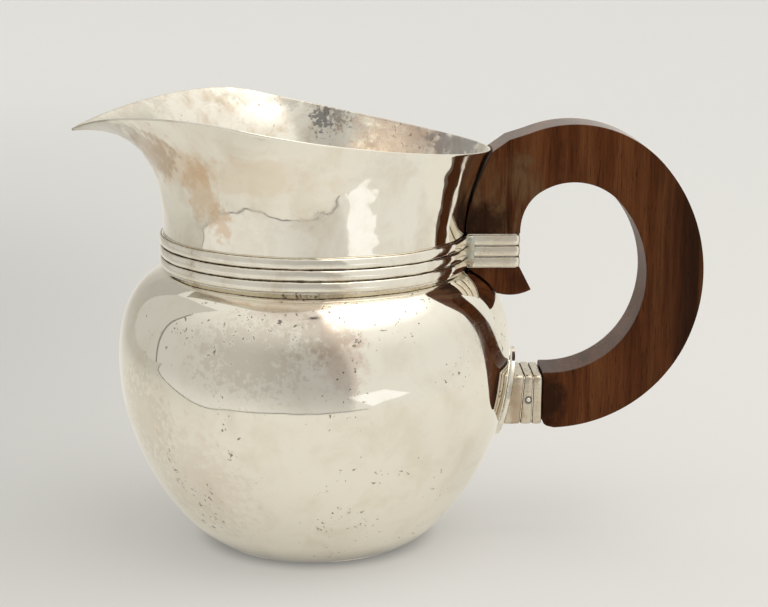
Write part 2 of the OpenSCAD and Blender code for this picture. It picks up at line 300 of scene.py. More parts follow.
class NodeMaker:
    """Adds nodes to a tree: values for their inputs are numbers, vectors or other nodes' outputs."""

    def __init__(self, tree):
        self.tree = tree

    def add(self, kind, inputs=None, **settings):
        node = self.tree.nodes.new(kind)
        for label, value in settings.items():
            setattr(node, label, value)
        for label, value in (inputs or {}).items():
            socket = node.inputs[label]
            if isinstance(value, bpy.types.NodeSocket):
                self.tree.links.new(value, socket)
            else:
                socket.default_value = value
        return node

    def math(self, operation, first, second=0.0, third=0.0):
        return self.add("ShaderNodeMath", {0: first, 1: second, 2: third}, operation=operation).outputs[0]

    def plus(self, first, second):
        return self.math("ADD", first, second)

    def minus(self, first, second):
        return self.math("SUBTRACT", first, second)

    def times(self, first, second):
        return self.math("MULTIPLY", first, second)

    def vector(self, operation, first, second=(0, 0, 0)):
        return self.add("ShaderNodeVectorMath", {0: first, 1: second}, operation=operation).outputs[0]

    def scaled(self, vector, amount):
        return self.add("ShaderNodeVectorMath", {0: vector, "Scale": amount}, operation="SCALE").outputs[0]

    def length(self, vector):
        return self.add("ShaderNodeVectorMath", {0: vector}, operation="LENGTH").outputs["Value"]

    def parts(self, vector):
        """The X, Y and Z of a vector."""
        return self.add("ShaderNodeSeparateXYZ", {0: vector}).outputs

    def noise(self, where, scale, detail=2.0, roughness=0.5, distortion=0.0):
        return self.add("ShaderNodeTexNoise", {"Vector": where, "Scale": scale, "Detail": detail,
                                               "Roughness": roughness, "Distortion": distortion}).outputs[0]

    def bump(self, height, distance, strength, under=None):
        """The normal of a surface with this height on it, over another normal if one is given."""
        inputs = {"Height": height, "Distance": distance, "Strength": strength}
        if under is not None:
            inputs["Normal"] = under
        return self.add("ShaderNodeBump", inputs).outputs[0]

    def ramp(self, value, low, high, to_low=0.0, to_high=1.0):
        """A smooth step of value from low to high."""
        return self.add("ShaderNodeMapRange", {"Value": value, "From Min": low, "From Max": high,
                                               "To Min": to_low, "To Max": to_high},
                        interpolation_type="SMOOTHSTEP").outputs["Result"]

    def mix(self, factor, first, second):
        """A blend of two colours."""
        return self.add("ShaderNodeMix", {0: factor, 6: first, 7: second}, data_type="RGBA").outputs[2]


def new_tree(name, kind, inputs, outputs):
    """An empty node group with named inputs (name, socket type, default) and outputs."""
    tree = bpy.data.node_groups.new(name, kind)
    for label, socket_type, default in inputs:
        socket = tree.interface.new_socket(name=label, in_out="INPUT", socket_type=socket_type)
        if default is not None:
            socket.default_value = default
    for label, socket_type in outputs:
        tree.interface.new_socket(name=label, in_out="OUTPUT", socket_type=socket_type)
    maker = NodeMaker(tree)
    return tree, maker, tree.nodes.new("NodeGroupInput"), tree.nodes.new("NodeGroupOutput")


def sweep_tree():
    """Sweeps a section along a path of points that carry an outward and an across direction."""
    if "Swept Section" in bpy.data.node_groups:
        return bpy.data.node_groups["Swept Section"]
    tree, make, given, result = new_tree(
        "Swept Section", "GeometryNodeTree",
        [("Path", "NodeSocketGeometry", None), ("Section", "NodeSocketObject", None),
         ("Dent Depth", "NodeSocketFloat", 0.0001), ("Dent Size", "NodeSocketFloat", 0.02),
         ("Seed", "NodeSocketInt", 1), ("Finish", "NodeSocketMaterial", None)],
        [("Geometry", "NodeSocketGeometry")])
    path = given.outputs["Path"]
    section = make.add("GeometryNodeObjectInfo", {"Object": given.outputs["Section"]}).outputs["Geometry"]
    columns = make.add("GeometryNodeAttributeDomainSize", {"Geometry": path}).outputs["Point Count"]
    rows = make.add("GeometryNodeAttributeDomainSize", {"Geometry": section}).outputs["Point Count"]
    grid = make.add("GeometryNodeMeshGrid", {"Vertices X": columns, "Vertices Y": rows})
    index = make.add("GeometryNodeInputIndex").outputs[0]
    column = make.math("FLOOR", make.math("DIVIDE", make.plus(index, 0.5), rows))
    row = make.minus(index, make.times(column, rows))

    def sampled(geometry, value, at):
        return make.add("GeometryNodeSampleIndex", {"Geometry": geometry, "Value": value, "Index": at},
                        data_type="FLOAT_VECTOR", clamp=True).outputs[0]

    def named(label):
        return make.add("GeometryNodeInputNamedAttribute", {"Name": label},
                        data_type="FLOAT_VECTOR").outputs["Attribute"]

    position = make.add("GeometryNodeInputPosition").outputs[0]
    centre = sampled(path, position, column)
    outward = sampled(path, named("outward"), column)
    across = sampled(path, named("across"), column)
    part = make.parts(sampled(section, position, row))
    place = make.vector("ADD", centre, make.vector("ADD", make.scaled(outward, part["X"]),
                                                   make.scaled(across, part["Z"])))
    shape = make.parts(position)

    def largest(value):
        return make.add("GeometryNodeAttributeStatistic", {"Geometry": section, "Attribute": value},
                        data_type="FLOAT").outputs["Max"]

    # The edge is 1 at the section's top and bottom, and less where the section turns behind its crest.
    behind = make.ramp(make.minus(largest(shape["X"]), part["X"]), 0.8 * MM, 1.5 * MM, 0.0, 0.5)
    edge = make.minus(make.math("DIVIDE", make.math("ABSOLUTE", part["Z"]), largest(shape["Z"])), behind)
    marked = make.add("GeometryNodeStoreNamedAttribute",
                      {"Geometry": grid.outputs["Mesh"], "Name": "edge", "Value": edge},
                      data_type="FLOAT", domain="POINT").outputs[0]
    swept = make.add("GeometryNodeSetPosition", {"Geometry": marked, "Position": place}).outputs[0]
    whole = make.add("GeometryNodeMergeByDistance", {"Geometry": swept, "Distance": WELD}).outputs[0]
    dents = make.add("ShaderNodeTexNoise", {"Vector": position, "W": given.outputs["Seed"],
                                            "Scale": make.math("DIVIDE", 1.0, given.outputs["Dent Size"]),
                                            "Detail": 1.0, "Roughness": 0.4},
                     noise_dimensions="4D").outputs[0]
    inwards = make.times(given.outputs["Dent Depth"], -1.0)
    depth = make.times(make.ramp(dents, 0.25, 0.75), inwards)
    normal = make.add("GeometryNodeInputNormal").outputs[0]
    dented = make.add("GeometryNodeSetPosition",
                      {"Geometry": whole, "Offset": make.scaled(normal, depth)}).outputs[0]
    smooth = make.add("GeometryNodeSetShadeSmooth", {"Geometry": dented}).outputs[0]
    solid = make.add("GeometryNodeRealizeInstances", {"Geometry": smooth}).outputs[0]
    finished = make.add("GeometryNodeSetMaterial",
                        {"Geometry": solid, "Material": given.outputs["Finish"]}).outputs[0]
    tree.links.new(finished, result.inputs["Geometry"])
    return tree


def sweep(name, path, section, material, dent_depth, dent_size, seed):
    """Runs the sweep on a path object and a list of section points, and returns a plain mesh object."""
    shape = chain_object(name + "_section", [(p.x, 0, p.y) for p in section])
    tree = sweep_tree()
    modifier = path.modifiers.new("Sweep", "NODES")
    modifier.node_group = tree
    values = {"Section": shape, "Dent Depth": dent_depth, "Dent Size": dent_size, "Seed": seed,
              "Finish": material}
    for socket in tree.interface.items_tree:
        if socket.item_type == "SOCKET" and socket.in_out == "INPUT" and socket.name in values:
            modifier[socket.identifier] = values[socket.name]
    bpy.context.view_layer.update()
    mesh = bpy.data.meshes.new_from_object(path.evaluated_get(bpy.context.evaluated_depsgraph_get()))
    path.modifiers.remove(modifier)
    if len(mesh.polygons) == 0:
        raise RuntimeError("the sweep of " + name + " made nothing")
    piece = bpy.data.objects.new(name, mesh)
    bpy.context.collection.objects.link(piece)
    for item in (shape, path):
        old = item.data
        bpy.data.objects.remove(item)
        bpy.data.meshes.remove(old)
    tidy_mesh(mesh)
    mesh.name = name
    return piece


def round_way(turn, turns):
    """The direction away from the axis after so many of a ring's turns."""
    angle = 2 * math.pi * (turn % turns) / turns
    return Vector((math.cos(angle), math.sin(angle), 0))


def ring_path(name, heights):
    """Points on the axis that look outwards all the way round, one for each height. The last closes the
    ring on the first."""
    turns = len(heights) - 1
    return chain_object(name + "_path", [UP * height for height in heights],
                        [round_way(i, turns) for i in range(turns + 1)], [UP] * (turns + 1))


def rounded_bar(thickness, height, edge, crown=0.0, bow=10):
    """A closed section, thickness outwards and height up, with eased edges and a crowned outer face."""
    half_t, half_h = thickness / 2, height / 2
    edge = min(edge, half_t * 0.95, half_h * 0.95)
    points = []
    for i in range(bow + 1):
        z = -half_h + edge + (2 * half_h - 2 * edge) * i / bow
        points.append(Vector((half_t - crown * (z / half_h) ** 2, z)))
    outer = half_t - crown
    for corner, start in (((outer - edge, half_h - edge), 0), ((-half_t + edge, half_h - edge), 90),
                          ((-half_t + edge, -half_h + edge), 180), ((outer - edge, -half_h + edge), 270)):
        points += arc(Vector(corner), edge, start + 15, start + 75, 4)
    points.append(points[0].copy())
    return points


# ---- Shader groups that more than one finish uses ----

def patch_group():
    """How far a point lies inside an irregular round patch: 1 in its middle, 0 outside."""
    if "Irregular Patch" in bpy.data.node_groups:
        return bpy.data.node_groups["Irregular Patch"]
    tree, make, given, result = new_tree(
        "Irregular Patch", "ShaderNodeTree",
        [("Vector", "NodeSocketVector", None), ("Centre", "NodeSocketVector", (0, 0, 0)),
         ("Reach", "NodeSocketVector", (0.01, 0.01, 0.01)), ("Raggedness", "NodeSocketFloat", 0.5),
         ("Grain", "NodeSocketFloat", 120.0)],
        [("Mask", "NodeSocketFloat")])
    offset = make.vector("DIVIDE", make.vector("SUBTRACT", given.outputs["Vector"], given.outputs["Centre"]),
                         given.outputs["Reach"])
    wander = make.minus(make.noise(given.outputs["Vector"], given.outputs["Grain"], 4.0, 0.6), 0.5)
    ragged = make.times(wander, make.times(given.outputs["Raggedness"], 2.0))
    shifted = make.plus(make.length(offset), ragged)
    tree.links.new(make.ramp(shifted, 1.0, 0.45), result.inputs["Mask"])
    return tree


def wear_group():
    """Clouds of faint tarnish, fine specks and hairline scratches, with a height for the bump."""
    if "Silver Wear" in bpy.data.node_groups:
        return bpy.data.node_groups["Silver Wear"]
    tree, make, given, result = new_tree(
        "Silver Wear", "ShaderNodeTree",
        [("Vector", "NodeSocketVector", None), ("Cloud Size", "NodeSocketFloat", 45.0),
         ("Speck Size", "NodeSocketFloat", 420.0), ("Speck Amount", "NodeSocketFloat", 0.2)],
        [("Clouds", "NodeSocketFloat"), ("Specks", "NodeSocketFloat"), ("Scratches", "NodeSocketFloat"),
         ("Height", "NodeSocketFloat")])
    where = given.outputs["Vector"]
    clouds = make.noise(where, given.outputs["Cloud Size"], 6.0, 0.62, 0.4)
    tree.links.new(make.ramp(clouds, 0.42, 0.75), result.inputs["Clouds"])
    fine = make.noise(where, given.outputs["Speck Size"], 3.0, 0.7)
    groups = make.noise(where, 38.0)
    limit = make.minus(0.76, make.times(given.outputs["Speck Amount"], make.ramp(groups, 0.35, 0.7)))
    specks = make.ramp(make.minus(fine, limit), 0.0, 0.05)
    tree.links.new(specks, result.inputs["Specks"])
    strokes = []
    # Each set of scratches is noise turned one way and squeezed into lines.
    for turn, squeeze in ((0.5, (30, 900, 30)), (-0.8, (900, 26, 40)), (1.4, (60, 45, 1100))):
        lined = make.add("ShaderNodeMapping", {"Vector": where, "Rotation": (turn, turn * 0.6, turn * 1.3),
                                               "Scale": squeeze}).outputs[0]
        line = make.noise(lined, 1.0, 1.0)
        strokes.append(make.ramp(make.math("ABSOLUTE", make.minus(line, 0.5)), 0.012, 0.0))
    scratches = make.math("MAXIMUM", strokes[0], make.math("MAXIMUM", strokes[1], strokes[2]))
    rare = make.noise(where, 60.0, 1.0)
    scratches = make.times(scratches, make.ramp(rare, 0.55, 0.72))
    tree.links.new(scratches, result.inputs["Scratches"])
    pitted = make.plus(specks, make.times(scratches, 0.15))
    tree.links.new(make.times(pitted, -1.0), result.inputs["Height"])
    return tree


def dent_group():
    """The soft unevenness that planishing leaves on raised sheet."""
    if "Planished Sheet" in bpy.data.node_groups:
        return bpy.data.node_groups["Planished Sheet"]
    tree, make, given, result = new_tree(
        "Planished Sheet", "ShaderNodeTree",
        [("Vector", "NodeSocketVector", None), ("Dent Scale", "NodeSocketFloat", 90.0),
         ("Ripple", "NodeSocketFloat", 0.3)],
        [("Height", "NodeSocketFloat")])
    where = given.outputs["Vector"]
    broad = make.noise(where, given.outputs["Dent Scale"], 1.5, 0.4)
    blow_scale = make.times(given.outputs["Dent Scale"], 2.4)
    blows = make.add("ShaderNodeTexVoronoi", {"Vector": where, "Scale": blow_scale, "Smoothness": 1.0},
                     feature="SMOOTH_F1").outputs["Distance"]
    total = make.plus(broad, make.times(blows, given.outputs["Ripple"]))
    tree.links.new(total, result.inputs["Height"])
    return tree


def new_material(name):
    """An empty node material: its maker, its Principled node and its Object coordinates."""
    material = bpy.data.materials.new(name)
    material.use_nodes = True
    material.node_tree.nodes.clear()
    make = NodeMaker(material.node_tree)
    shader = make.add("ShaderNodeBsdfPrincipled")
    make.add("ShaderNodeOutputMaterial", {"Surface": shader.outputs[0]})
    where = make.add("ShaderNodeTexCoord").outputs["Object"]
    return material, make, shader, where


def grouped(make, tree, inputs):
    node = make.tree.nodes.new("ShaderNodeGroup")
    node.node_tree = tree
    for label, value in inputs.items():
        if isinstance(value, bpy.types.NodeSocket):
            make.tree.links.new(value, node.inputs[label])
        else:
            node.inputs[label].default_value = value
    return node.outputs


def opaque(values):
    return (values[0], values[1], values[2], 1.0)


def silver_material(name, clouds, cloud_size, specks, dents, dent_height, patches=(), grooves=False,
                    dull=0.0, speck_tint=None, lean=None, flare=0.0, silver=None):
    """Polished silver with tarnish. A patch is (centre and reach in millimetres, strength, colour,
    raggedness) and may end with the fineness of its edge. Grooves darken what the sweep marks as edge.
    Lean is a slope that tips the polished face, and flare adds to it above the flare's height."""
    if name in bpy.data.materials:
        return bpy.data.materials[name]
    finish = bpy.context.scene.pitcher_finish
    material, make, shader, where = new_material(name)
    wear = grouped(make, wear_group(), {"Vector": where, "Cloud Size": cloud_size, "Speck Amount": specks})
    hue = make.mix(make.times(wear["Clouds"], clouds), opaque(silver or finish.silver),
                   opaque(finish.tarnish))
    haze = 0.10 * clouds + 0.02
    rough = make.plus(finish.polish + dull, make.times(wear["Clouds"], haze))
    for centre, reach, strength, tint, ragged, *fineness in patches:
        mask = make.times(grouped(make, patch_group(), {
            "Vector": where, "Centre": Vector(centre) * MM, "Reach": Vector(reach) * MM,
            "Raggedness": ragged, "Grain": fineness[0] if fineness else 120.0})["Mask"], strength)
        hue = make.mix(mask, hue, opaque(tint))
        rough = make.plus(rough, make.times(mask, 0.16))
    hue = make.mix(make.times(wear["Specks"], 0.75), hue, opaque(speck_tint or finish.oxide))
    rough = make.plus(rough, make.times(wear["Scratches"], 0.18))
    if grooves:
        edge = make.add("ShaderNodeAttribute", {}, attribute_name="edge").outputs["Fac"]
        ragged = make.minus(make.noise(where, 700.0, 3.0), 0.5)
        depth = make.plus(edge, make.times(ragged, 0.16))
        dark = make.ramp(depth, 0.87, 0.97)
        halo = make.times(make.ramp(depth, 0.60, 1.0), 0.40)
        hue = make.mix(halo, hue, opaque(finish.tarnish))
        hue = make.mix(dark, hue, opaque(finish.oxide))
        rough = make.plus(rough, make.times(dark, 0.4))
    make.tree.links.new(hue, shader.inputs["Base Color"])
    make.tree.links.new(rough, shader.inputs["Roughness"])
    shader.inputs["Metallic"].default_value = 1.0
    broad = grouped(make, dent_group(), {"Vector": where, "Dent Scale": dents})["Height"]
    face = make.bump(broad, dent_height, 1.0)
    if lean:
        tilt = make.add("ShaderNodeVectorMath", {0: where, 1: lean}, operation="DOT_PRODUCT").outputs["Value"]
        if flare:
            parts = make.parts(where)
            above = make.math("MAXIMUM", make.minus(parts["Z"], 140 * MM), 0.0)
            away_from_spout = make.ramp(parts["X"], -45 * MM, 0.0)
            above = make.times(make.times(above, above), away_from_spout)
            tilt = make.plus(tilt, make.times(above, flare))
        face = make.bump(tilt, 1.0, 1.0, face)
    make.tree.links.new(make.bump(wear["Height"], 0.02 * MM, 0.6, face), shader.inputs["Normal"])
    return material


def rosewood_material():
    """Oiled rosewood with upright grain, dark streaks on its outer side, dry grain beside the clasp, darker
    soft patches where it meets the silver, and open pores. It is glossier where it faces up, as if rubbed by
    the hand."""
    name = "oiled_rosewood"
    if name in bpy.data.materials:
        return bpy.data.materials[name]
    finish = bpy.context.scene.pitcher_finish
    material, make, shader, where = new_material(name)

    def grain(scale, turn=(0, 0, 0), detail=3.0, roughness=0.55, distortion=0.0):
        lined = make.add("ShaderNodeMapping", {"Vector": where, "Rotation": turn, "Scale": scale}).outputs[0]
        return make.noise(lined, 1.0, detail, roughness, distortion)

    def stained(centre, reach, raggedness, fineness):
        return grouped(make, patch_group(), {"Vector": where, "Centre": Vector(centre) * MM,
                                             "Reach": Vector(reach) * MM, "Raggedness": raggedness,
                                             "Grain": fineness})["Mask"]

    lean = (0, math.radians(3), 0)
    broad = grain((95, 30, 9), lean, 3.0, 0.5, 0.8)
    strands = grain((330, 90, 16), lean, 4.0, 0.6, 0.5)
    fibres = grain((1500, 700, 70), lean, 2.0, 0.6)
    pores = grain((2300, 1300, 170), lean, 1.0, 0.5)
    tone = make.plus(make.times(broad, 0.62), make.times(strands, 0.38))
    hue = make.mix(make.ramp(tone, 0.42, 0.66), opaque(finish.wood_mid), opaque(finish.wood_light))
    hue = make.mix(make.ramp(tone, 0.47, 0.30, 0.0, 0.8), hue, opaque(finish.wood_dark))
    hue = make.mix(make.times(make.ramp(fibres, 0.55, 0.36), 0.28), hue, opaque(finish.wood_dark))
    outer = make.ramp(make.parts(where)["X"], 126 * MM, 156 * MM)
    streaks = make.times(outer, make.ramp(grain((120, 60, 7), lean, 2.0, 0.5, 0.5), 0.20, 0.52))
    hue = make.mix(make.times(streaks, 0.82), hue, opaque(finish.wood_dark))
    flare = grain((150, 60, 15), (0, math.radians(-24), 0), 4.0, 0.65, 0.4)
    worn = stained((80, 0, 140), (26, 40, 26), 0.6, 180.0)
    hue = make.mix(make.times(worn, make.ramp(flare, 0.44, 0.62)), hue, opaque(finish.wood_worn))
    # Darker soft patches where the wood meets the silver: beside the socket, above the clasp and just under
    # it.
    for centre, reach, strength in (((96, 0, 58), (9, 30, 18), 0.75), ((68, 0, 131), (13, 30, 14), 0.8),
                                    ((84, 0, 108), (10, 30, 6), 0.4)):
        dark_by_silver = make.times(stained(centre, reach, 0.45, 260.0), strength)
        hue = make.mix(dark_by_silver, hue, opaque(finish.wood_dark))
    pits = make.ramp(pores, 0.66, 0.72)
    hue = make.mix(make.times(pits, 0.6), hue, opaque(finish.wood_dark))
    make.tree.links.new(hue, shader.inputs["Base Color"])
    upwards = make.parts(make.add("ShaderNodeNewGeometry").outputs["Normal"])["Z"]
    rough = make.plus(make.ramp(upwards, 0.2, 0.9, 0.30, 0.05), make.times(strands, 0.10))
    make.tree.links.new(make.plus(rough, make.times(pits, 0.2)), shader.inputs["Roughness"])
    shader.inputs["Specular IOR Level"].default_value = 0.06
    height = make.minus(make.times(fibres, 0.4), pits)
    make.tree.links.new(make.bump(height, 0.03 * MM, 0.35), shader.inputs["Normal"])
    return material


def solder_material():
    """Grey-green solder, dull and pitted."""
    name = "pitted_solder"
    if name in bpy.data.materials:
        return bpy.data.materials[name]
    finish = bpy.context.scene.pitcher_finish
    material, make, shader, where = new_material(name)
    wear = grouped(make, wear_group(), {"Vector": where, "Cloud Size": 380.0, "Speck Size": 1400.0,
                                        "Speck Amount": 0.35})
    hue = make.mix(wear["Clouds"], opaque(finish.solder), opaque(finish.tarnish))
    hue = make.mix(make.times(wear["Specks"], 0.8), hue, opaque(finish.oxide))
    make.tree.links.new(hue, shader.inputs["Base Color"])
    make.tree.links.new(make.plus(0.3, make.times(wear["Clouds"], 0.3)), shader.inputs["Roughness"])
    shader.inputs["Metallic"].default_value = 1.0
    make.tree.links.new(make.bump(wear["Clouds"], 0.2 * MM, 0.8), shader.inputs["Normal"])
    return material


BROWN = (0.40, 0.27, 0.16)
STRAW = (0.62, 0.47, 0.28)
RUST = (0.30, 0.17, 0.12)
ORANGE = (0.66, 0.42, 0.22)
PINK = (0.62, 0.44, 0.36)
GREY = (0.42, 0.39, 0.33)
# Dark grey of real scuffs inside the neck, also used as painted shade round the socket pin.
SCUFF_AND_PIN_SHADE = (0.10, 0.10, 0.11)
SLATE = (0.22, 0.21, 0.23)
DULL_SILVER = (0.66, 0.60, 0.49)


def bowl_silver():
    return silver_material("bowl_silver", clouds=0.20, cloud_size=60.0, specks=0.17, patches=(
        ((-48, -58, 34), (28, 28, 32), 0.17, PINK, 1.3, 330),
        ((-66, -40, 60), (16, 22, 22), 0.17, BROWN, 1.5, 380),
        ((-24, -72, 92), (26, 20, 16), 0.24, BROWN, 1.6, 420),
        ((10, -76, 92), (11, 12, 15), 0.40, PINK, 1.1, 200),
        ((4, -72, 100), (14, 12, 12), 0.30, BROWN, 1.6, 400),
        ((-4, -66, 108), (26, 14, 6), 0.25, PINK, 1.0)),
        dents=55.0, dent_height=0.09 * MM)


def neck_silver():
    return silver_material("neck_silver", clouds=0.30, cloud_size=60.0, specks=0.06, patches=(
        ((-43, -46, 151), (10, 10, 18), 0.45, ORANGE, 1.1, 170),
        ((-35, -50, 140), (5, 6, 9), 0.45, ORANGE, 1.2, 300),
        ((-52, -40, 160), (30, 26, 11), 0.34, ORANGE, 1.1, 170),
        ((-20, -58, 158), (34, 16, 9), 0.22, ORANGE, 1.0),
        ((-84, -10, 166), (26, 30, 16), 0.75, GREY, 0.8),
        ((-66, -30, 162), (20, 22, 13), 0.55, BROWN, 1.1, 200)),
        dents=62.0, dent_height=0.46 * MM, lean=(0, 0, 0.10), flare=3.0)


def inner_silver():
    return silver_material("inner_silver", clouds=0.60, cloud_size=110.0, specks=0.15, patches=(
        ((44, 50, 158), (38, 28, 26), 0.50, PINK, 1.2, 260),
        ((60, 30, 158), (16, 24, 12), 0.60, SLATE, 1.5, 260),
        ((3, 62, 166), (5, 8, 8), 0.72, SCUFF_AND_PIN_SHADE, 2.2, 520),
        ((9, 60, 166), (6, 7, 6), 0.5, SCUFF_AND_PIN_SHADE, 2.4, 640),
        ((-14, 68, 174), (44, 18, 5), 0.50, GREY, 1.4, 240),
        ((-78, 14, 172), (26, 36, 16), 0.30, GREY, 1.0)),
        dents=150.0, dent_height=0.12 * MM, dull=0.14, speck_tint=RUST, lean=(-0.12, 0, -0.16))


def band_silver():
    return silver_material("band_silver", clouds=0.40, cloud_size=80.0, specks=0.06, dents=160.0,
                           dent_height=0.05 * MM, grooves=True, dull=0.03)


def strap_silver():
    return silver_material("strap_silver", clouds=0.55, cloud_size=120.0, specks=0.10, patches=(
        ((74, 0, 121), (14, 30, 16), 0.30, STRAW, 0.5),),
        dents=220.0, dent_height=0.06 * MM, grooves=True, dull=0.12)


def socket_silver():
    return silver_material("socket_silver", clouds=0.70, cloud_size=150.0, specks=0.22, patches=(
        # The first patch darkens the band to brown where it meets the flange. The second is painted shade:
        # the dark ring round the pin head.
        ((82, -12, 57), (3.5, 10, 14), 0.6, BROWN, 0.9),
        ((86.9, -12.6, 58.8), (2.3, 3, 2.3), 1.0, SCUFF_AND_PIN_SHADE, 0.2)),
        dents=260.0, dent_height=0.10 * MM, grooves=True, dull=0.14, silver=DULL_SILVER)


def fitting_silver():
    return silver_material("fitting_silver", clouds=0.55, cloud_size=140.0, specks=0.18, dents=240.0,
                           dent_height=0.04 * MM, dull=0.08)


# ---- Pieces ----

class PITCHER_OT_bowl(bpy.types.Operator):
    """Turn the belly with its planished wall, and finish the base sheet"""
    bl_idname = "pitcher.bowl"
    bl_label = "Belly and base"

    def execute(self, context):
        sizes = context.scene.pitcher_body
        inside = belly_outline(-sizes.wall, 60)
        profile = (belly_outline(0.0, 100)
                   + [Vector((sizes.neck_radius, sizes.joint_height)),
                      Vector((sizes.neck_radius - sizes.wall, sizes.joint_height))]
                   + list(reversed(inside)))
        profile.append(profile[0].copy())
        piece = sweep("bowl", ring_path("bowl", [0.0] * (RING_TURNS + 1)), profile, bowl_silver(),
                      sizes.dent_depth, sizes.dent_size, sizes.seed)
        stand_for(piece, "polished_silver", "belly")
        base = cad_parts["base_disc"]
        base.data.materials.clear()
        base.data.materials.append(fitting_silver())
        return {"FINISHED"}


class PITCHER_OT_neck(bpy.types.Operator):
    """Raise the neck from the bands to the flared rim and its long spout"""
    bl_idname = "pitcher.neck"
    bl_label = "Neck and spout"

    def execute(self, context):
        sizes = context.scene.pitcher_body
        columns, rows, turns = 280, 56, 8
        lip = sizes.wall / 2
        vertices, per_column = [], 0
        for i in range(columns):
            u = 2 * i / columns if i <= columns / 2 else 2 - 2 * i / columns
            side = 1 if i <= columns / 2 else -1
            rim = rim_point(u)
            radius = math.hypot(rim.x, rim.y)
            way = Vector((rim.x, side * rim.y, 0)) / radius
            curve = wall_curve(radius, rim.z)
            end_speed = 3 * (curve[3] - curve[2]).length
            last = 1 - (lip + 0.03 * MM) / end_speed
            outer, inner = [], []
            for j in range(rows + 1):
                t = last * j / rows
                forward = bezier_way(curve, t)
                out = Vector((forward.y, -forward.x))
                point = bezier(curve, t)
                fade = min(1.0, 3 * j / rows) * min(1.0, 8 * (rows - j) / rows)
                spot = Vector((way.x * point.x, way.y * point.x, point.y))
                dent = (noise.noise(spot * 42 + Vector((sizes.seed, 0, 0))) - 0.45
                        + 0.4 * noise.noise(spot * 95)) * sizes.dent_depth * 0.6 * fade
                outer.append(point + out * min(dent, 0.0))
                inner.append(point - out * (sizes.wall + min(dent, 0.0) * 0.3))
            forward = bezier_way(curve, last)
            out = Vector((forward.y, -forward.x))
            middle = bezier(curve, last) - out * lip
            edge = [middle + out * (lip * math.cos(a)) + forward * (lip * math.sin(a))
                    for a in (math.pi * k / turns for k in range(1, turns))]
            run = ([Vector((sizes.neck_radius, sizes.joint_height))] + outer + edge + inner[::-1]
                   + [Vector((sizes.neck_radius - sizes.wall, sizes.joint_height))])
            per_column = len(run)
            vertices += [Vector((way.x * p.x, way.y * p.x, p.y)) for p in run]
        faces, slots = [], []
        inner_from = rows + 2 + turns // 2
        for i in range(columns):
            a, b = i * per_column, ((i + 1) % columns) * per_column
            for j in range(per_column):
                k = (j + 1) % per_column
                faces.append((a + j, b + j, b + k, a + k))
                slots.append(1 if j >= inner_from else 0)
        piece = mesh_object("neck_and_spout", vertices, faces, [neck_silver(), inner_silver()], slots)
        stand_for(piece, "polished_silver", "neck_spout")
        return {"FINISHED"}


class PITCHER_OT_bands(bpy.types.Operator):
    """Sweep the three rounded bands round the neck"""
    bl_idname = "pitcher.bands"
    bl_label = "Neck bands"

    def execute(self, context):
        sizes = context.scene.pitcher_bands
        inner = context.scene.pitcher_body.neck_radius - 0.1 * MM
        thick = sizes.band_crest - inner
        section = [p + Vector((inner + thick / 2, 0))
                   for p in rounded_bar(thick, sizes.band_height - 0.1 * MM, sizes.edge_round, 0.55 * MM, 14)]
        for level, name in enumerate(("lower", "middle", "upper")):
            middle = sizes.band_bottom + (level + 0.5) * sizes.band_height
            ways = [round_way(i, BAND_TURNS) for i in range(BAND_TURNS + 1)]
            heights = [middle + sizes.waviness * (noise.noise(way * 4.1 + UP * 5 * level)
                                                  + 0.6 * noise.noise(way * 17 + UP * 3 * level))
                       for way in ways]
            piece = sweep("neck_band_" + name + "_ring", ring_path("band_" + name, heights), section,
                          band_silver(), sizes.waviness, 9 * MM, 11 + level)
            stand_for(piece, "worked_silver", "neck_band_" + name)
        return {"FINISHED"}


def bent_path(name, start, end, half, corner, height):
    """A U round the board from the neck to the far edge and back, closed at both ends."""
    side_steps, corner_steps, end_steps = 14, 8, 12
    points, outward = [], []

    def put(x, y, way):
        points.append(Vector((x, y, height)))
        outward.append(Vector(way))

    def turn_corner(side_y, from_angle):
        for i in range(corner_steps + 1):
            a = math.radians(from_angle + 90 * i / corner_steps)
            put(end - corner + corner * math.cos(a), side_y + corner * math.sin(a),
                (math.cos(a), math.sin(a), 0))

    put(start, -half, (0, 0, 0))
    for i in range(side_steps):
        put(start + (end - corner - start) * i / side_steps, -half, (0, -1, 0))
    turn_corner(-half + corner, -90)
    for i in range(1, end_steps):
        put(end, (-half + corner) + 2 * (half - corner) * i / end_steps, (1, 0, 0))
    turn_corner(half - corner, 0)
    for i in range(1, side_steps + 1):
        put(end - corner - (end - corner - start) * i / side_steps, half, (0, 1, 0))
    put(start, half, (0, 0, 0))
    across = [UP.copy() if way.length else Vector((0, 0, 0)) for way in outward]
    return chain_object(name + "_path", points, outward, across)


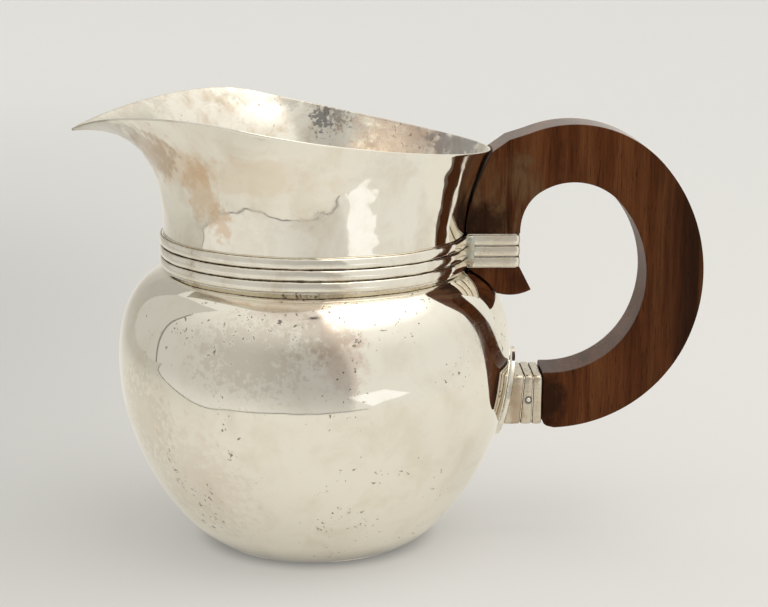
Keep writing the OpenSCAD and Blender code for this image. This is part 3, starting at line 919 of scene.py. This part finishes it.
class PITCHER_OT_clasp(bpy.types.Operator):
    """Bend the sleeve and the three straps of the clasp round the board, with their solder"""
    bl_idname = "pitcher.clasp"
    bl_label = "Clasp"

    def execute(self, context):
        sheet = 0.7 * MM
        height = CLASP_HIGH.z - CLASP_LOW.z
        path = bent_path("clasp_sleeve", 61.0 * MM, CLASP_HIGH.x - sheet / 2, CLASP_HIGH.y - sheet / 2,
                         1.0 * MM, (CLASP_LOW.z + CLASP_HIGH.z) / 2)
        piece = sweep("clasp_backing_sleeve", path, rounded_bar(sheet, height, 0.15 * MM), fitting_silver(),
                      0.03 * MM, 6 * MM, 21)
        stand_for(piece, "worked_silver", "clasp_sleeve")
        thick = STRAP_HIGH.y - CLASP_HIGH.y
        for level, name in enumerate(("lower", "middle", "upper")):
            low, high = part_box("clasp_strap_" + name)
            path = bent_path("strap_" + name, 61.3 * MM, high.x - thick / 2, high.y - thick / 2, 1.2 * MM,
                             (low.z + high.z) / 2)
            piece = sweep("clasp_strap_" + name + "_bend", path,
                          rounded_bar(thick, high.z - low.z, 0.32 * MM, 0.22 * MM), strap_silver(),
                          0.10 * MM, 5 * MM, 31 + level)
            stand_for(piece, "worked_silver", "clasp_strap_" + name)
        self.solder(context.scene.pitcher_bands)
        return {"FINISHED"}

    def solder(self, bands):
        """A lumpy bead up each side of the clasp where it meets the neck."""
        low, high = bands.band_bottom + 0.2 * MM, bands.band_bottom + 3 * bands.band_height - 0.2 * MM
        vertices, faces = [], []
        rings, round_steps = 34, 12
        for side in (-1, 1):
            start = len(vertices)
            middle = Vector((62.1 * MM, side * 12.6 * MM, 0))
            for i in range(rings + 1):
                z = low + (high - low) * i / rings
                swell = math.sqrt(max(0.0, 1 - (2 * i / rings - 1) ** 6))
                for k in range(round_steps):
                    a = 2 * math.pi * k / round_steps
                    way = Vector((math.cos(a), math.sin(a), 0))
                    spot = middle + way * MM + UP * z
                    lump = 1 + 0.35 * noise.noise(spot * 520) + 0.25 * noise.noise(spot * 1300)
                    size = Vector((1.9 * MM * way.x, 1.0 * MM * way.y, 0)) * (lump * swell)
                    vertices.append(middle + size + UP * z)
            for i in range(rings):
                for k in range(round_steps):
                    a, b = start + i * round_steps, start + (i + 1) * round_steps
                    n = (k + 1) % round_steps
                    faces.append((a + k, a + n, b + n, b + k))
        piece = mesh_object("clasp_solder", vertices, faces, [solder_material()])
        stand_for(piece, "worked_silver")


def board_edges():
    """The board's outer and inner edges as two runs of points in the plane of X and Z."""
    sizes = bpy.context.scene.pitcher_handle
    half = sizes.width / 2
    top_c, top_r = Vector((103.7, 123.3)) * MM, 36.6 * MM
    side_r, low_r, top_join, low_join = 56 * MM, 49.2 * MM, 42, -24

    def towards(degrees):
        return Vector((math.cos(math.radians(degrees)), math.sin(math.radians(degrees))))

    side_c = top_c - towards(top_join) * (side_r - top_r)
    low_c = side_c + towards(low_join) * (side_r - low_r)
    shoulder = SLEEVE_HIGH.x + 0.5 * MM
    shoulder_top = low_c.y - low_r + half
    gap_end = 122
    arc_end = top_c + towards(gap_end) * (top_r - half)
    gap_curve = [arc_end, arc_end + towards(gap_end + 90) * 6 * MM,
                 Vector((GAP_EDGE_X, NOTCH_HIGH + 8 * MM)), Vector((GAP_EDGE_X, NOTCH_HIGH))]
    outer = (millimetres((60, 153), (77.3, 165.3)) + arc(top_c, top_r + half, 112, top_join, 40)
             + arc(side_c, side_r + half, top_join, low_join, 40)[1:]
             + arc(low_c, low_r + half, low_join, -88, 34)[1:]
             + millimetres((94.6, 47.5), (93.4, 48.4)) + [Vector((shoulder, 49.7 * MM))])
    inner = ([Vector((shoulder, shoulder_top - 0.5 * MM)), Vector((shoulder + 0.5 * MM, shoulder_top))]
             + arc(low_c, low_r - half, -90, low_join, 34)
             + arc(side_c, side_r - half, low_join, top_join, 34)[1:]
             + arc(top_c, top_r - half, top_join, gap_end, 40)[1:] + bezier_run(gap_curve, 16, 0.0, 1)
             + [Vector((NOTCH_X, NOTCH_HIGH)), Vector((NOTCH_X, NOTCH_LOW)), Vector((GAP_EDGE_X, NOTCH_LOW))]
             + arc(Vector((78.5, 120)) * MM, 17.5 * MM, -61, -105, 20) + millimetres((60, 103)))
    return outer, inner


class PITCHER_OT_handle(bpy.types.Operator):
    """Saw the wooden handle, scribe it to the neck and ease its edges"""
    bl_idname = "pitcher.handle"
    bl_label = "Handle"

    def execute(self, context):
        sizes = context.scene.pitcher_handle
        gap = sizes.scribe_gap
        back = wall_curve(RIM_BACK_RADIUS, RIM_BACK_HEIGHT)
        edge = context.scene.pitcher_bands.band_crest + gap
        belly_top, bands_low, above_rim = 111.5 * MM, 112.6 * MM, 180 * MM
        silver_side = ([p for p in belly_outline(gap, 60) if p.y < belly_top]
                       + [Vector((edge, bands_low)), Vector((edge, NOTCH_HIGH))]
                       + bezier_run(back, 40, gap) + [Vector((RIM_BACK_RADIUS + gap, above_rim))])
        outer, inner = board_edges()
        half, ease = sizes.thickness / 2, sizes.edge_round
        ease_steps, flat_steps = 6, 16
        slices = []
        for i in range(ease_steps + 1):
            a = math.radians(90 * i / ease_steps)
            slices.append((-half + ease * (1 - math.sin(a)), ease * (1 - math.cos(a))))
        slices += [(-half + ease + (sizes.thickness - 2 * ease) * i / flat_steps, 0.0)
                   for i in range(1, flat_steps)]
        slices += [(-y, inset) for y, inset in reversed(slices[:ease_steps + 1])]
        slices.sort(key=lambda s: s[0])
        vertices, count = [], 0
        for y, inset in slices:
            outline = self.outline(outer, inner, silver_side, y)
            if inset > 0:
                outline = self.shrink(outline, inset)
            count = len(outline)
            vertices += [Vector((p.x, y, p.y)) for p in outline]
        faces = []
        for i in range(len(slices) - 1):
            a, b = i * count, (i + 1) * count
            for j in range(count):
                k = (j + 1) % count
                faces.append((a + j, a + k, b + k, b + j))
        faces.append(tuple(range(count)))
        faces.append(tuple(range((len(slices) - 1) * count, len(slices) * count)))
        faces, vertices = self.add_tenon(faces, vertices)
        piece = mesh_object("wooden_handle", vertices, faces, [rosewood_material()])
        piece.data.set_sharp_from_angle(angle=math.radians(28))
        stand_for(piece, "rosewood", "handle")
        return {"FINISHED"}

    def outline(self, outer, inner, silver_side, y):
        """The board's outline at the depth y, scribed to the silver."""
        scribed = [(math.sqrt(max(p.x * p.x - y * y, 0)), p.y) for p in silver_side if p.x > abs(y)]
        line = [Vector(p) for p in scribed]

        def crossing(a, b):
            """The first point on the way from a to b that is clear of the silver."""
            steps = 400
            for i in range(steps + 1):
                p = a + (b - a) * (i / steps)
                if p.x >= radius_at(line, p.y):
                    return p
            return b

        top = crossing(outer[0], outer[1])
        end_index = next(i for i in range(len(inner) - 1, 0, -1)
                         if inner[i].x >= radius_at(line, inner[i].y))
        low = crossing(inner[min(end_index + 1, len(inner) - 1)], inner[end_index])
        steps = 46
        edge = []
        for i in range(1, steps):
            z = low.y + (top.y - low.y) * i / steps
            edge.append(Vector((radius_at(line, z), z)))
        kept = inner[:end_index + 1]
        while len(kept) < len(inner):
            kept.append(low.copy())
        return [top] + outer[1:] + kept + [low] + edge

    def shrink(self, outline, inset):
        """Moves an outline inwards, with its corners mitred."""
        moved, count = [], len(outline)
        for i, p in enumerate(outline):
            before, after = p, p
            for k in range(1, count):
                if (outline[i - k] - p).length > 1e-6:
                    before = outline[i - k]
                    break
            for k in range(1, count):
                if (outline[(i + k) % count] - p).length > 1e-6:
                    after = outline[(i + k) % count]
                    break
            a, b = (p - before).normalized(), (after - p).normalized()
            first, second = Vector((-a.y, a.x)), Vector((-b.y, b.x))
            middle = first + second
            if middle.length < 1e-6:
                middle = first
            middle.normalize()
            moved.append(p - middle * (inset / max(middle.dot(first), 0.5)))
        return moved

    def add_tenon(self, faces, vertices):
        """The tenon that fills the socket, as a block with chamfered long edges. The top of its end is cut
        back, clear of the belly."""
        inset, cut, cut_back, middle_z = 0.75 * MM, 0.5 * MM, 3 * MM, 60 * MM
        low = Vector((78.2 * MM, SLEEVE_LOW.y + inset, SLEEVE_LOW.z + inset))
        high = Vector((SLEEVE_HIGH.x + 0.4 * MM, SLEEVE_HIGH.y - inset, SLEEVE_HIGH.z - inset))
        start = len(vertices)
        ring = [(low.y + cut, low.z), (high.y - cut, low.z), (high.y, low.z + cut), (high.y, high.z - cut),
                (high.y - cut, high.z), (low.y + cut, high.z), (low.y, high.z - cut), (low.y, low.z + cut)]
        for x in (low.x, high.x):
            vertices += [Vector((x + (cut_back if x == low.x and z > middle_z else 0), y, z))
                         for y, z in ring]
        for k in range(8):
            n = (k + 1) % 8
            faces.append((start + k, start + n, start + 8 + n, start + 8 + k))
        faces.append(tuple(start + k for k in range(8)))
        faces.append(tuple(start + 8 + k for k in range(8)))
        return faces, vertices


def socket_ring(name, low_y, high_y, low_z, high_z, corner, first, last):
    """A rounded rectangle round the tenon; first and last give where its sheet starts and ends along X."""
    spots = []
    corners = (((low_y + corner, high_z - corner), 90), ((low_y + corner, low_z + corner), 180),
               ((high_y - corner, low_z + corner), 270), ((high_y - corner, high_z - corner), 0))
    for (y, z), start in corners:
        for i in range(7):
            a = math.radians(start + 15 * i)
            way = Vector((math.cos(a), math.sin(a)))
            spots.append((Vector((y, z)) + way * corner, way))
    points = []
    for n, (spot, way) in enumerate(spots + [spots[0]]):
        previous = spots[n - 1] if n else None
        if previous is not None and (spot - previous[0]).length > 3 * MM:
            for k in range(1, 10):
                middle = previous[0].lerp(spot, k / 10)
                points.append((middle, way))
        points.append((spot, way))
    path, outs, spans = [], [], []
    for p, way in points:
        start, end = first(p.x, p.y), last(p.x, p.y)
        path.append(Vector(((start + end) / 2, p.x, p.y)))
        outs.append(Vector((0, way.x, way.y)))
        spans.append(Vector((end - start, 0, 0)))
    return chain_object(name + "_path", path, outs, spans)


class PITCHER_OT_socket(bpy.types.Operator):
    """Wrap the socket sleeve and its three leaning bands round the tenon, and finish flange and pin"""
    bl_idname = "pitcher.socket"
    bl_label = "Socket"

    def execute(self, context):
        outline = belly_outline(1.5 * MM, 60)

        def flange_face(y, z):
            return math.sqrt(max(radius_at(outline, z) ** 2 - y * y, 0.0))

        mouth = SLEEVE_HIGH.x
        cover, thin = 1.0 * MM, 0.7 * MM
        low, high = Vector((SOCKET_LOW.y, SOCKET_LOW.z)), Vector((SOCKET_HIGH.y, SOCKET_HIGH.z))
        path = socket_ring("socket_sleeve", low.x + cover + thin / 2, high.x - cover - thin / 2,
                           low.y + cover + thin / 2, high.y - cover - thin / 2, 0.9 * MM,
                           flange_face, lambda y, z: mouth)
        piece = sweep("socket_inner_sleeve", path, self.unit_bar(thin, 0.0, 0.03), fitting_silver(),
                      0.02 * MM, 5 * MM, 41)
        stand_for(piece, "worked_silver", "socket_sleeve")
        top_z, low_z = high.y + MM, low.y - MM
        tops = [v * MM for v in (81, 85.3, 88.8)]
        lows = [v * MM for v in (70, 83.4, 88.4)]
        gap = 0.12 * MM

        def groove(number, z):
            """The groove before a band leans: it lies at tops[number] above and lows[number] below."""
            if number > 2:
                return mouth
            return lows[number] + (tops[number] - lows[number]) * (z - low_z) / (top_z - low_z)

        for number, name in enumerate(("inner", "middle", "outer")):
            def first(y, z, n=number):
                return max(groove(n, z) + gap, flange_face(y, z))

            def last(y, z, n=number):
                return groove(n + 1, z) - (gap if n < 2 else 0.0)

            path = socket_ring("socket_band_" + name, low.x + cover / 2, high.x - cover / 2,
                               low.y + cover / 2, high.y - cover / 2, 1.3 * MM, first, last)
            piece = sweep("socket_band_" + name + "_wrap", path, self.unit_bar(cover, 0.28 * MM, 0.10),
                          socket_silver(), 0.14 * MM, 4.5 * MM, 51 + number)
            stand_for(piece, "worked_silver", "socket_band_" + name)
        for node in ("socket_flange", "socket_pin"):
            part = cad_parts[node]
            part.data.materials.clear()
            part.data.materials.append(fitting_silver())
        return {"FINISHED"}

    def unit_bar(self, thickness, crown, ease):
        """A closed section whose height is one, stretched by the path to the band's own width."""
        points = []
        for i in range(13):
            z = -0.5 + ease + (1 - 2 * ease) * i / 12
            points.append(Vector((thickness / 2 - crown * (2 * z) ** 2, z)))
        shoulder, back = thickness / 2 - crown, -thickness / 2
        eased, flat = shoulder - 0.08 * thickness, shoulder - 0.35 * thickness
        points += [Vector(p) for p in ((eased, 0.5 - 0.35 * ease), (flat, 0.5), (back, 0.5), (back, 0.0),
                                       (back, -0.5), (flat, -0.5), (eased, -0.5 + 0.35 * ease))]
        points.append(points[0].copy())
        return points


# ---- Stage ----

# The reflected sheet's foremost point and its left end, in metres, and the colours of two painted shadows on
# the papers: round the object's foot, and at the back left of the floor.
FRONT_X, FRONT_Y = 0.03, -0.285
END_X, END_Y = -0.87, 0.12
SHADE = (0.03, 0.028, 0.025)
BACK_LEFT_SHADOW = (0.2, 0.197, 0.19)


def stage_mesh(name, vertices, faces, material):
    """A stage piece from its vertices and faces."""
    mesh = bpy.data.meshes.new(name)
    mesh.from_pydata(vertices, [], faces)
    mesh.materials.append(material)
    item = bpy.data.objects.new(name, mesh)
    bpy.context.collection.objects.link(item)
    return item


def stage_plane(name, corners, material):
    """A flat stage piece from its corners."""
    return stage_mesh(name, corners, [tuple(range(len(corners)))], material)


def only_reflected(item):
    """Keeps a stage piece out of the picture and out of the light: only polished metal shows it."""
    item.visible_camera = False
    item.visible_diffuse = False
    item.visible_shadow = False
    item.visible_transmission = False
    item.visible_volume_scatter = False


def sweep_sheet(name, left, right, front, back, rise, material, front_shape=None):
    """A pale sheet that lies on the table and curves up behind the object. Its front edge may be shaped."""
    bend, bend_steps, columns = 0.5, 16, 96
    profile = [Vector((front, 0)), Vector((back * 0.5, 0)), Vector((back, 0))]
    profile += [Vector((back + bend * math.sin(a), bend * (1 - math.cos(a))))
                for a in (math.pi / 2 * i / bend_steps for i in range(1, bend_steps + 1))]
    profile.append(Vector((back + bend, rise)))
    vertices = [(left + (right - left) * i / columns, p.x, p.y) for p in profile for i in range(columns + 1)]
    if front_shape:
        for i in range(columns + 1):
            x, y, z = vertices[i]
            vertices[i] = (x, y + front_shape(x), z)
    faces = []
    for j in range(len(profile) - 1):
        for i in range(columns):
            a = j * (columns + 1) + i
            faces.append((a, a + 1, a + columns + 2, a + columns + 1))
    item = stage_mesh(name, vertices, faces, material)
    item.data.polygons.foreach_set("use_smooth", [True] * len(faces))
    item.data.update()
    return item


def stage_material(name, left, right, from_x, to_x, glow, far=None):
    """Matt paper that grows lighter from left to right, painted light that stands for the window on the
    right, with a painted shadow round the object's foot. With a far colour it also has a painted shadow at
    the back left and turns to that colour further back. It glows a little, painted light that keeps its
    shadows pale."""
    material, make, shader, where = new_material(name)
    parts = make.parts(where)
    # Painted light: the paper grows lighter to the right, where the window light falls.
    hue = make.mix(make.ramp(parts["X"], from_x, to_x), opaque(left), opaque(right))
    from_axis = make.length(make.vector("MULTIPLY", where, (1, 1, 0)))
    # Painted shadow round the object's foot.
    hue = make.mix(make.ramp(from_axis, 52 * MM, 40 * MM, 0.0, 0.35), hue, opaque(SHADE))
    if far:
        # Painted shadow at the back left, where the object's shadow falls on the floor.
        from_back_left_shadow = make.length(make.vector("MULTIPLY", make.vector("ADD", where, (0.34, -0.30, 0)),
                                             (2.2, 1.5, 0)))
        hue = make.mix(make.ramp(from_back_left_shadow, 1.0, 0.1, 0.0, 0.22), hue, opaque(BACK_LEFT_SHADOW))
        hue = make.mix(make.ramp(parts["Y"], 0.4, 1.9), hue, opaque(far))
    make.tree.links.new(hue, shader.inputs["Base Color"])
    # The paper glows with the glow strength: painted light that keeps its shadows pale.
    make.tree.links.new(hue, shader.inputs["Emission Color"])
    shader.inputs["Emission Strength"].default_value = glow
    shader.inputs["Roughness"].default_value = 1.0
    shader.inputs["Specular IOR Level"].default_value = 0.0
    return material


def card_material(name, tint, strength):
    """A card that shines by itself, for reflections."""
    material = bpy.data.materials.new(name)
    material.use_nodes = True
    material.node_tree.nodes.clear()
    make = NodeMaker(material.node_tree)
    glow = make.add("ShaderNodeEmission", {"Color": opaque(tint), "Strength": strength}).outputs[0]
    make.add("ShaderNodeOutputMaterial", {"Surface": glow})
    return material


class PITCHER_OT_stage(bpy.types.Operator):
    """Set up the pale floor, the soft light and the camera"""
    bl_idname = "pitcher.stage"
    bl_label = "Stage"

    def execute(self, context):
        stage = context.scene.pitcher_stage
        self.camera(context, stage)
        self.room(context, stage)
        paper = stage_material("pale_paper", stage.floor_shaded_left, stage.floor_lit_right, -0.35, 0.25, 0.45,
                               stage.floor_far)
        bright_paper = stage_material("bright_paper", stage.sheet_shaded_left, stage.sheet, -0.55, -0.05, 0.55)
        floor = sweep_sheet("floor", -6.0, 6.0, -6.0, 1.6, 6.0, paper)
        for vertex in floor.data.vertices:
            vertex.co.z -= 0.3 * MM
        floor.visible_glossy = False
        sheet = sweep_sheet("reflected_sheet", -0.95, 0.95, FRONT_Y, 0.45, 1.1, bright_paper, self.front)
        edge = self.edge("sheet_edge", END_X, 0.13, 0.006)
        panel, post = self.left_end(END_X, END_Y)
        lying, overhead = 2 * MM, 1.0
        card = stage_plane("bright_card", [(x, y, lying) for x, y in (
            (0.15, -0.47), (0.31, -0.43), (0.29, -0.25), (0.15, -0.27))],
            card_material("white_card", (1.0, 1.0, 0.98), 1.1))
        lens = stage_plane("dark_lens", [(x, y, overhead) for x, y in (
            (-0.045, -0.33), (0.025, -0.33), (0.025, -0.25), (-0.045, -0.25))],
            card_material("dark_card", (0.06, 0.05, 0.05), 1.0))
        for item in (sheet, edge, panel, post, card, lens):
            only_reflected(item)
        self.lamp("window", Vector((0.86, -0.26, 0.98)), 1.25, 1.0, stage.window_light)
        context.scene.view_settings.view_transform = "Standard"
        return {"FINISHED"}

    def front(self, x):
        """How far behind its foremost point the sheet's front edge lies at x."""
        spread = 0.33
        return spread * (1 - math.exp(-((x - FRONT_X) / spread) ** 2))

    def left_end(self, x, y):
        """The left end of the sheet, which stands up beside the object, with the shadow along its edge."""
        back_x, back_y, tall = x - 0.3, y + 1.2, 1.3
        pale = card_material("sheet_end", (1.0, 0.975, 0.91), 0.60)
        panel = stage_plane("sheet_end", [(x, y, 0), (back_x, back_y, 0), (back_x, back_y, tall),
                                          (x, y, tall)], pale)
        shadow_y, shadow_tall = y - 0.022, 0.8
        dark = card_material("end_shadow", (0.24, 0.22, 0.19), 1.0)
        post = stage_plane("end_shadow", [(x, shadow_y, 0), (x, y, 0), (x, y, shadow_tall),
                                          (x, shadow_y, shadow_tall)], dark)
        return panel, post

    def edge(self, name, left, right, width):
        """The thin shadow along the front edge of the reflected sheet."""
        steps = 96
        spots = [left + (right - left) * i / steps for i in range(steps + 1)]
        vertices = [(x, FRONT_Y + self.front(x) - shift, MM) for x in spots for shift in (0.0, width)]
        faces = [(2 * i, 2 * i + 1, 2 * i + 3, 2 * i + 2) for i in range(steps)]
        return stage_mesh(name, vertices, faces, card_material("edge_shadow", (0.16, 0.15, 0.13), 1.0))

    def camera(self, context, stage):
        """A long lens at the height of a person seated at the table."""
        pitch, yaw, roll = stage.camera_pitch, stage.camera_yaw, stage.camera_roll
        forward = Vector((math.sin(yaw) * math.cos(pitch), math.cos(yaw) * math.cos(pitch), -math.sin(pitch)))
        right = Vector((math.cos(yaw), -math.sin(yaw), 0))
        above = right.cross(forward)
        x = right * math.cos(roll) + above * math.sin(roll)
        y = above * math.cos(roll) - right * math.sin(roll)
        data = bpy.data.cameras.new("camera")
        data.lens, data.sensor_width = stage.lens, 36.0
        data.clip_start, data.clip_end = 0.01, 50.0
        item = bpy.data.objects.new("camera", data)
        context.collection.objects.link(item)
        turned = Matrix((x, y, -forward)).transposed().to_4x4()
        item.matrix_world = Matrix.Translation(stage.camera_place) @ turned
        context.scene.camera = item

    def room(self, context, stage):
        """A pale room: dim to the front and left, with tall bright windows from the front right to the
        back. Turn is the angle to the right of straight in front, in radians, and high is the height, from
        -1 to 1."""
        world = bpy.data.worlds.new("room")
        context.scene.world = world
        world.use_nodes = True
        world.node_tree.nodes.clear()
        make = NodeMaker(world.node_tree)
        parts = make.parts(make.add("ShaderNodeTexCoord").outputs["Generated"])
        turn = make.math("ARCTAN2", parts["X"], make.times(parts["Y"], -1.0))
        high = parts["Z"]
        darker_in_front = make.times(make.ramp(turn, -0.8, -0.1), make.ramp(high, 0.75, 0.35, 0.0, 0.12))
        dim = make.minus(make.ramp(high, 0.25, 0.90, 0.62, 0.86), darker_in_front)
        dim = make.plus(dim, make.ramp(high, -0.10, -0.42, 0.0, 0.22))
        bright = make.plus(make.ramp(high, 0.2, 1.0, 0.84, 1.15), make.ramp(high, 0.68, 0.90, 0.0, 1.0))
        slanted = make.plus(turn, make.times(high, 0.15))
        windows = make.times(make.ramp(slanted, 0.30, 0.42), make.ramp(turn, 3.1, 2.7))
        strength = make.plus(dim, make.times(windows, make.minus(bright, dim)))
        strength = make.times(strength, stage.room_light)
        glow = make.add("ShaderNodeBackground", {"Color": (1.0, 0.975, 0.92, 1.0), "Strength": strength})
        make.add("ShaderNodeOutputWorld", {"Surface": glow.outputs[0]})

    def lamp(self, name, place, width, height, power):
        """A large soft light that faces the object."""
        data = bpy.data.lights.new(name, "AREA")
        data.shape, data.size, data.size_y, data.energy = "RECTANGLE", width, height, power
        item = bpy.data.objects.new(name, data)
        bpy.context.collection.objects.link(item)
        item.location = place
        item.rotation_mode = "QUATERNION"
        item.rotation_quaternion = (Vector((0, 0, 0.1)) - place).to_track_quat("-Z", "Y")
        item.visible_camera = False
        item.visible_glossy = False


OPERATORS = (PITCHER_OT_stage, PITCHER_OT_bowl, PITCHER_OT_neck, PITCHER_OT_bands, PITCHER_OT_clasp,
             PITCHER_OT_handle, PITCHER_OT_socket)


class PITCHER_PT_parts(bpy.types.Panel):
    """The pitcher's pieces, sizes and finishes"""
    bl_idname = "PITCHER_PT_parts"
    bl_label = "Silver Water Pitcher"
    bl_space_type = "VIEW_3D"
    bl_region_type = "UI"
    bl_category = "Pitcher"

    def draw(self, context):
        layout = self.layout
        for operator in OPERATORS:
            layout.operator(operator.bl_idname)
        for group in ("pitcher_body", "pitcher_bands", "pitcher_handle", "pitcher_finish", "pitcher_stage"):
            values = getattr(context.scene, group)
            box = layout.box()
            for label in type(values).__annotations__:
                box.prop(values, label)


CLASSES = PROPERTY_GROUPS + OPERATORS + (PITCHER_PT_parts,)
SCENE_VALUES = {"pitcher_body": PitcherBodySizes, "pitcher_bands": PitcherBandSizes,
                "pitcher_handle": PitcherHandleSizes, "pitcher_finish": PitcherFinish,
                "pitcher_stage": PitcherStage}


def register():
    for item in CLASSES:
        bpy.utils.register_class(item)
    for label, group in SCENE_VALUES.items():
        setattr(bpy.types.Scene, label, PointerProperty(type=group))


def unregister():
    for label in SCENE_VALUES:
        delattr(bpy.types.Scene, label)
    for item in reversed(CLASSES):
        bpy.utils.unregister_class(item)


def main():
    register()
    bpy.ops.pitcher.stage()
    bpy.ops.pitcher.bowl()
    bpy.ops.pitcher.neck()
    bpy.ops.pitcher.bands()
    bpy.ops.pitcher.clasp()
    bpy.ops.pitcher.handle()
    bpy.ops.pitcher.socket()


if __name__ == "__main__":
    main()
